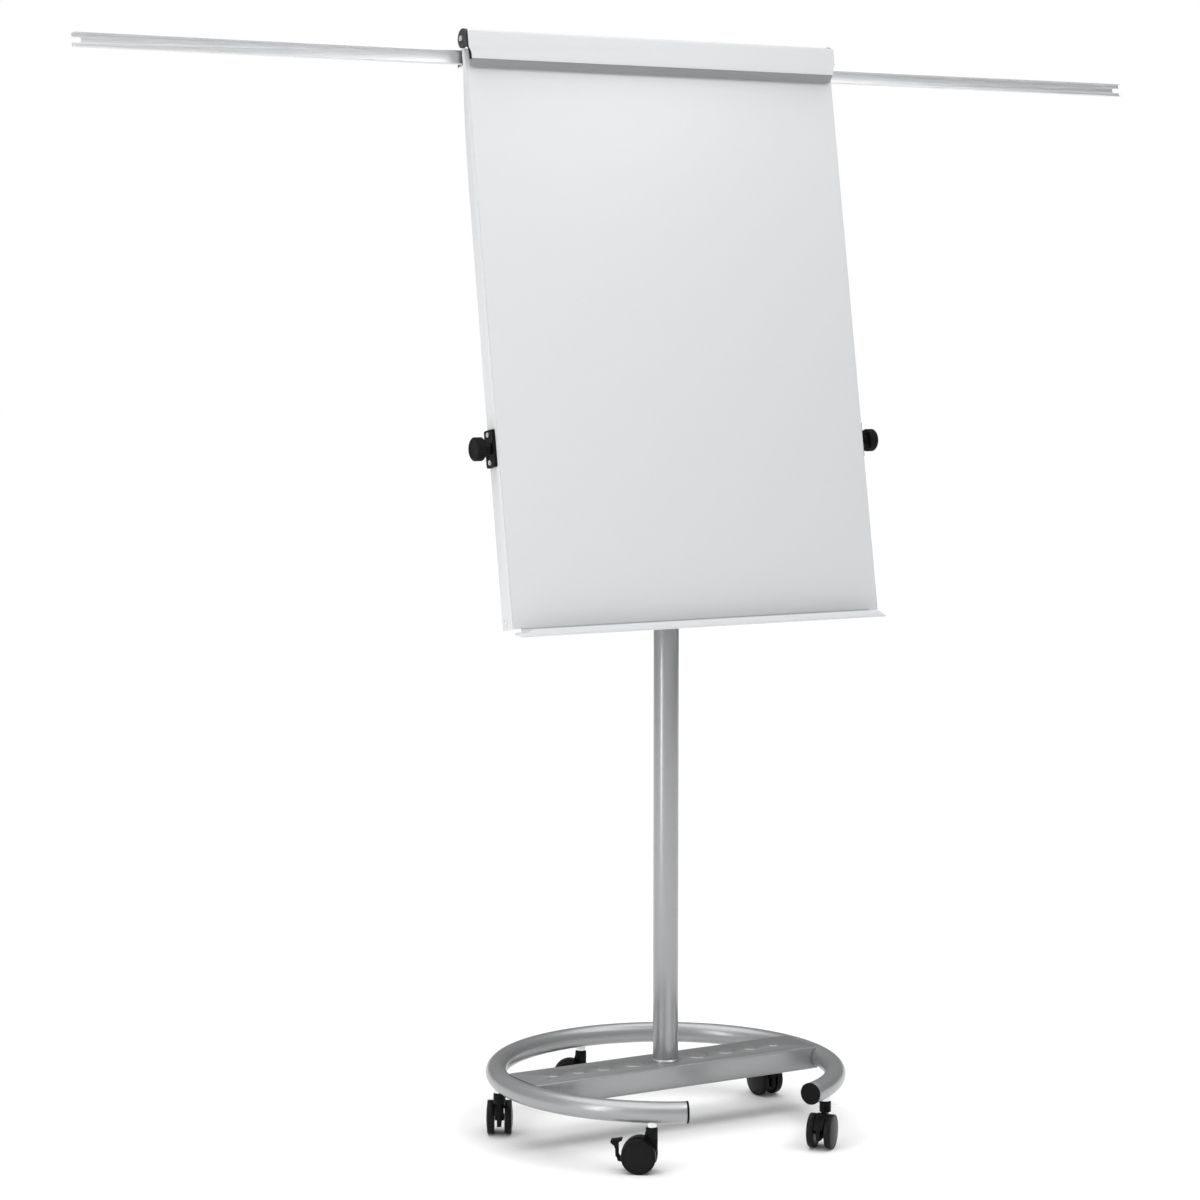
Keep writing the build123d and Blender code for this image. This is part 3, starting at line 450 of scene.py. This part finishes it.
# %% A helper that rounds the edges of a node
body_of = {
    node: body for body, nodes in record["behaviour"]["bodies"].items() for node in nodes
}
SHARP_TURN = math.radians(30)
FLAT_TURN = math.radians(0.8)
WELD = 0.00001          # CAD corners closer than this are one


def merged_copy(node_name):
    """A welded bmesh copy of a CAD node, with its flat faces made whole."""
    shape = bmesh.new()
    shape.from_mesh(frame["nodes"][node_name].data)
    bmesh.ops.remove_doubles(shape, verts=shape.verts[:], dist=WELD)
    bmesh.ops.dissolve_limit(
        shape, angle_limit=FLAT_TURN, verts=shape.verts[:], edges=shape.edges[:]
    )
    return shape


def sharp_edges(shape):
    """The edges between two faces that meet at more than SHARP_TURN."""
    return [
        edge for edge in shape.edges
        if len(edge.link_faces) == 2 and edge.calc_face_angle() > SHARP_TURN
    ]


def finish_piece(shape, name, node_name, finish):
    """Turns a bmesh into a smooth-shaded object that stands for one CAD node."""
    data = bpy.data.meshes.new(name)
    shape.to_mesh(data)
    shape.free()
    data.shade_smooth()
    data.set_sharp_from_angle(angle=SHARP_TURN)
    piece = bpy.data.objects.new(name, data)
    bpy.context.scene.collection.objects.link(piece)
    dress(piece, finish)
    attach(piece, body_of[node_name])
    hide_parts(node_name)
    return piece


def round_edges(node_name, radius):
    """A copy of a CAD node with its sharp edges rounded, in its own finish."""
    shape = merged_copy(node_name)
    before = shape.calc_volume()
    bmesh.ops.bevel(
        shape, geom=sharp_edges(shape), offset=radius, offset_type="OFFSET",
        segments=2, profile=0.5, affect="EDGES", clamp_overlap=False, material=-1,
    )
    change = 100 * (shape.calc_volume() / before - 1)
    print(f"{node_name}: edges {radius * 1000:.2f} mm, volume {change:+.2f}%")
    finish = finish_of_slot[slot_of[node_name]]
    return finish_piece(shape, node_name + "_finished", node_name, finish)


print("edge helpers ready")

# %% [markdown]
# Each radius follows how the part is made.  The beam is roll-formed tube with a bold corner,
# sheet-metal parts take about a third of their thickness, mouldings a little less, and machined
# or turned parts only have their burr taken off.

# %% Rounded copies
edge_radii = {
    "cross_beam": 0.0009,
    "clamp_bar": 0.0005,
    "clamp_strip": 0.0006,
    "board_sheet": 0.0004,
    "bottom_rail": 0.0004,
    "back_ribs": 0.0004,
    "pen_tray": 0.0004,
    "side_flange_left": 0.0004,
    "side_flange_right": 0.0004,
    "pivot_plate_left": 0.0004,
    "pivot_plate_right": 0.0004,
    "hinge_bracket_left": 0.0005,
    "hinge_bracket_right": 0.0005,
    "clamp_end_left": 0.0004,
    "clamp_end_right": 0.0004,
    "arm_left": 0.0002,
    "arm_right": 0.0002,
    "arm_rail": 0.0002,
    "ring_end_caps": 0.0006,
    "ring_tube": 0.0003,
    "column_tube": 0.0003,
    "column_fixing": 0.0005,
    "height_collar": 0.0006,
    "mast_head": 0.0006,
    "height_knob": 0.0003,
    "clamp_pivot_screws": 0.0003,
    "castor_stems": 0.0004,
}
for node_name in frame["nodes"]:
    if node_name.startswith("castor_") and node_name.endswith(("_body", "_lever")):
        edge_radii[node_name] = 0.0004
for node_name, radius in edge_radii.items():
    round_edges(node_name, radius)
print("rounded", len(edge_radii), "nodes")

# %% [markdown]
# ## Tilt knobs
#
# The knob that locks the board's tilt is a moulded cap with a ribbed rim, held off the board by
# a slim neck so that fingers reach behind the rim.  Such a turned shape could be cut from a
# cylinder, but drawing half of its outline once and spinning that about the axis keeps every
# ring of points on a true circle.  The ribs then need no new geometry: every second pair of
# columns around the rim is scaled towards the axis.

# %% A helper that spins an outline
SPUN_WELD = 0.000001    # the poles and the seam of a spun shape are merged within this


def spin_outline(shape, corners, centre, axis, steps):
    """Joins the corners by edges and spins them all the way round the axis."""
    points = [shape.verts.new(corner) for corner in corners]
    edges = [shape.edges.new(pair) for pair in zip(points, points[1:])]
    bmesh.ops.spin(
        shape, geom=points + edges, cent=centre, axis=axis, angle=2 * math.pi,
        steps=steps, use_merge=True,
    )


def close_shape(shape):
    """Merges the poles and seams, then turns every face outwards."""
    bmesh.ops.remove_doubles(shape, verts=shape.verts[:], dist=SPUN_WELD)
    bmesh.ops.recalc_face_normals(shape, faces=shape.faces[:])


print("spinning helpers ready")

# %% Knob outline
NECK_LENGTH = 0.0120
NECK_RADIUS = 0.0074
RIM_ROUND = 0.0012
RIM_FACE = 0.0030       # from the rim down to its flat faces
RIB_COUNT = 30
STEPS_PER_RIB = 4
GROOVE_SCALE = 0.962
NEARLY = 0.0001         # room for rounding when points are picked by place
knob_low, knob_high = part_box("tilt_knob_right")
knob_centre = (knob_low + knob_high) / 2
knob_radius = (knob_high.z - knob_low.z) / 2
knob_length = knob_high.x - knob_low.x
rim_start = NECK_LENGTH + 0.0022
rim_end = knob_length - 0.0018
knob_outline = (
    (0.0, 0.0),
    (0.0, 0.0085),
    (0.0006, 0.0091),
    (0.0030, 0.0078),
    (NECK_LENGTH - 0.0020, NECK_RADIUS),
    (NECK_LENGTH - 0.0005, 0.0082),
    (NECK_LENGTH, 0.0105),
    (NECK_LENGTH + 0.0003, knob_radius - RIM_FACE),
    (NECK_LENGTH + 0.0009, knob_radius - RIM_ROUND),
    (rim_start, knob_radius),
    (rim_start + 0.0030, knob_radius),
    (rim_end - 0.0030, knob_radius),
    (rim_end, knob_radius),
    (rim_end + 0.0011, knob_radius - RIM_ROUND),
    (knob_length - 0.0002, knob_radius - RIM_FACE),
    (knob_length - 0.0002, 0.0142),
    (knob_length - 0.0009, 0.0136),
    (knob_length - 0.0011, 0.0050),
    (knob_length - 0.0011, 0.0),
)
print(f"knob {knob_length * 1000:.1f} mm long, radius {knob_radius * 1000:.1f} mm")

# %% Knobs
def make_knob(node_name, outwards):
    """A ribbed knob on the tilt axis; outwards is +1 on the right, -1 on the left."""
    inner_end = outwards * (knob_centre.x - knob_length / 2)
    corners = [
        (inner_end + outwards * along, knob_centre.y, knob_centre.z + out)
        for along, out in knob_outline
    ]
    axis_point = Vector((0, knob_centre.y, knob_centre.z))
    columns = RIB_COUNT * STEPS_PER_RIB
    shape = bmesh.new()
    spin_outline(shape, corners, axis_point, (1, 0, 0), columns)
    close_shape(shape)
    step = 2 * math.pi / columns
    grooves = []
    for vert in shape.verts:
        offset = vert.co - axis_point
        along = outwards * (vert.co.x - inner_end)
        column = round(math.atan2(offset.y, offset.z) / step) % STEPS_PER_RIB
        on_rim = math.hypot(offset.y, offset.z) > knob_radius - NEARLY
        between = rim_start - NEARLY < along < rim_end + NEARLY
        if on_rim and between and column < STEPS_PER_RIB // 2:
            grooves.append(vert)
    bmesh.ops.scale(
        shape, vec=(1, GROOVE_SCALE, GROOVE_SCALE), verts=grooves,
        space=Matrix.Translation(-axis_point),
    )
    print(f"{node_name}: {len(shape.faces)} faces, {len(grooves)} points in the grooves")
    return finish_piece(shape, node_name + "_ribbed", node_name, black_moulding)


make_knob("tilt_knob_right", 1)
make_knob("tilt_knob_left", -1)

# %% [markdown]
# ## Castor wheels
#
# Each castor runs on a pair of thin wheels: a flat tread with rounded shoulders, a fine step
# where the tyre meets its disc, and a gently domed outer face.  That step is only half a
# millimetre deep, but it is what draws the ring of light on a black wheel.  Again half an
# outline is spun about the axle; the axle's place and direction come from the rolling joint.

# %% Wheel outline
BORE_RADIUS = 0.00215   # known fault: the axle is 3 mm in radius and cuts into this bore
BORE_GAP = 0.0003
HUB_RADIUS = 0.0060
RECESS = 0.0010         # depth of the hollow in the inner face
SHOULDER = 0.0014
STEP_DEPTH = 0.0005     # between the tyre and its disc
DISC_INSET = 0.0044
DISH = 0.0020
DOME_POINTS = 7
WHEEL_STEPS = 88
joint_rows = {row["name"]: row for row in record["behaviour"]["joints"]}


def wheel_outline(inner, reach, radius, bore_end):
    """Half an outline as (distance along the axle, distance from it), inside face first."""
    edge = reach - DISH
    dome_radius = radius - DISC_INSET
    outline = [
        (bore_end, 0.0),
        (bore_end, BORE_RADIUS),
        (inner, BORE_RADIUS),
        (inner, HUB_RADIUS),
        (inner + RECESS, HUB_RADIUS + RECESS),
        (inner + RECESS, radius - 0.0060),
        (inner, radius - 0.0050),
        (inner, radius - SHOULDER),
        (inner + SHOULDER * 0.3, radius - SHOULDER * 0.3),
        (inner + SHOULDER, radius),
        ((inner + edge) / 2, radius),
        (edge - SHOULDER, radius),
        (edge - SHOULDER * 0.3, radius - SHOULDER * 0.3),
        (edge, radius - SHOULDER),
        (edge, radius - 0.0030),
        (edge - STEP_DEPTH, radius - 0.0033),
        (edge - STEP_DEPTH, radius - 0.0039),
        (edge, dome_radius),
    ]
    for index in range(1, DOME_POINTS + 1):
        out = dome_radius * (1 - index / DOME_POINTS)
        outline.append((edge + DISH * (1 - (out / dome_radius) ** 2), out))
    return outline


print("wheel joints:", sum(name.endswith("_roll") for name in joint_rows))

# %% Wheels
def make_wheels(castor):
    """Both wheels of one castor, spun about its axle."""
    node_name = f"castor_{castor}_wheels"
    joint = joint_rows[f"castor_{castor}_roll"]
    axle = Vector(joint["axis"]).normalized()
    centre = Vector(joint["pos_m"])
    offsets = [Vector(vert.co) - centre for vert in frame["nodes"][node_name].data.vertices]
    along = [abs(offset.dot(axle)) for offset in offsets]
    radius = max((offset - axle * offset.dot(axle)).length for offset in offsets)
    axle_mesh = frame["nodes"][f"castor_{castor}_axle"].data
    axle_reach = max(abs((vert.co - centre).dot(axle)) for vert in axle_mesh.vertices)
    outline = wheel_outline(min(along), max(along), radius, axle_reach + BORE_GAP)
    outwards = axle.cross(Vector((0, 0, 1))).normalized()
    shape = bmesh.new()
    for side in (-1, 1):
        corners = [centre + axle * (side * reach) + outwards * out for reach, out in outline]
        spin_outline(shape, corners, centre, axle, WHEEL_STEPS)
    close_shape(shape)
    volume = shape.calc_volume() * 1e6
    print(f"{node_name}: radius {radius * 1000:.1f} mm, {volume:.1f} ml,",
          f"axle to {axle_reach * 1000:.1f} of {max(along) * 1000:.1f} mm")
    return finish_piece(shape, node_name + "_turned", node_name, wheel_nylon)


for castor in ("back", "left", "right", "front_left", "front_right"):
    make_wheels(castor)

# %% [markdown]
# ## Studio
#
# A plain pale floor runs out to a white surround.  The world is bright to the camera, and a
# little darker to everything else, so that round tubes keep a dark side.  A tall narrow lamp on
# the left draws the bright line down the column, a broad one above the board's right makes its
# face fade gently downwards, and a very soft sun overhead evens out the floor.

# %% Floor
floor_mesh = bmesh.new()
bmesh.ops.create_circle(floor_mesh, cap_ends=True, segments=96, radius=40.0)
floor_data = bpy.data.meshes.new("studio_floor")
floor_mesh.to_mesh(floor_data)
floor_mesh.free()
floor = bpy.data.objects.new("studio_floor", floor_data)
bpy.context.scene.collection.objects.link(floor)
floor.location.z = -0.0005
floor_paint = grained_finish(
    "floor_paint", (0.93, 0.93, 0.93),
    amount=0.01, patch=1.0, roughness=0.75, rough_spread=0.03,
    grain=60.0, pebble=0.0, depth=0.00005,
)
floor_data.materials.append(floor_paint)
print("floor laid")

# %% World
DIM_SIDE = 0.20
BRIGHT_SIDE = 0.73
world = bpy.data.worlds.new("studio_world")
bpy.context.scene.world = world
world.use_nodes = True
sky_tree = world.node_tree
sky = sky_tree.nodes["Background"]
sky.inputs["Color"].default_value = (1, 1, 1, 1)
bright_side = Vector((-0.62, -0.55, 0.56)).normalized()
direction = sky_tree.nodes.new("ShaderNodeTexCoord")
towards_bright = sky_tree.nodes.new("ShaderNodeVectorMath")
towards_bright.operation = "DOT_PRODUCT"
towards_bright.inputs[1].default_value = bright_side
sky_tree.links.new(direction.outputs["Generated"], towards_bright.inputs[0])
room_light = spread(sky_tree, towards_bright.outputs["Value"], -0.6, 1.0, DIM_SIDE, BRIGHT_SIDE)
ray_kind = sky_tree.nodes.new("ShaderNodeLightPath")
seen_or_lit = sky_tree.nodes.new("ShaderNodeMix")
sky_tree.links.new(ray_kind.outputs["Is Camera Ray"], seen_or_lit.inputs["Factor"])
sky_tree.links.new(room_light, seen_or_lit.inputs["A"])
seen_or_lit.inputs["B"].default_value = 1.0
sky_tree.links.new(seen_or_lit.outputs["Result"], sky.inputs["Strength"])
bpy.context.scene.view_settings.view_transform = "Standard"
print("world ready")

# %% Lamps
def aim_lamp(data, place, aim):
    """Hangs a lamp at a place, turned to face a point."""
    lamp = bpy.data.objects.new(data.name, data)
    bpy.context.scene.collection.objects.link(lamp)
    lamp.location = place
    lamp.rotation_mode = "QUATERNION"
    lamp.rotation_quaternion = (Vector(aim) - Vector(place)).to_track_quat("-Z", "Y")
    return lamp


def soft_lamp(name, place, aim, width, height, power):
    """A rectangular area lamp."""
    data = bpy.data.lights.new(name, "AREA")
    data.shape = "RECTANGLE"
    data.size = width
    data.size_y = height
    data.energy = power
    return aim_lamp(data, place, aim)


soft_lamp(
    "strip_lamp", place=(-3.4, -1.0, 1.5), aim=(0, 0, 0.9), width=0.35, height=3.0, power=32
)
soft_lamp(
    "front_lamp", place=(1.0, -1.4, 3.2), aim=(0, -0.1, 1.7), width=1.6, height=0.8, power=13
)
ceiling = bpy.data.lights.new("ceiling_lamp", "SUN")
ceiling.energy = 2.05
ceiling.angle = math.radians(75)
aim_lamp(ceiling, (0, 0, 6), (0, 0, 0))
print("lamps hung")

# %% [markdown]
# ## Camera
#
# The easel is seen from its front left, from chest height, through a moderately long lens: far
# enough away for the verticals to stay nearly parallel.  The place is given from the column.

# %% Camera
LENS_MM = 94.06
SENSOR_MM = 36.0
LEFT_OF_COLUMN = 2.7067
AHEAD_OF_COLUMN = 4.3985
EYE_HEIGHT = 1.3466
column_low, column_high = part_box("column_tube")
column_axis = (column_low + column_high) / 2
camera_data = bpy.data.cameras.new("easel_camera")
camera_data.lens = LENS_MM
camera_data.sensor_width = SENSOR_MM
camera = bpy.data.objects.new("easel_camera", camera_data)
bpy.context.scene.collection.objects.link(camera)
camera.location = (
    column_axis.x - LEFT_OF_COLUMN, column_axis.y - AHEAD_OF_COLUMN, EYE_HEIGHT
)
camera_turn = math.radians(30.39)
camera_dip = math.radians(5.08)
camera.rotation_euler = (math.pi / 2 - camera_dip, 0, -camera_turn)
bpy.context.scene.camera = camera
print("camera at", [round(v, 3) for v in camera.location])
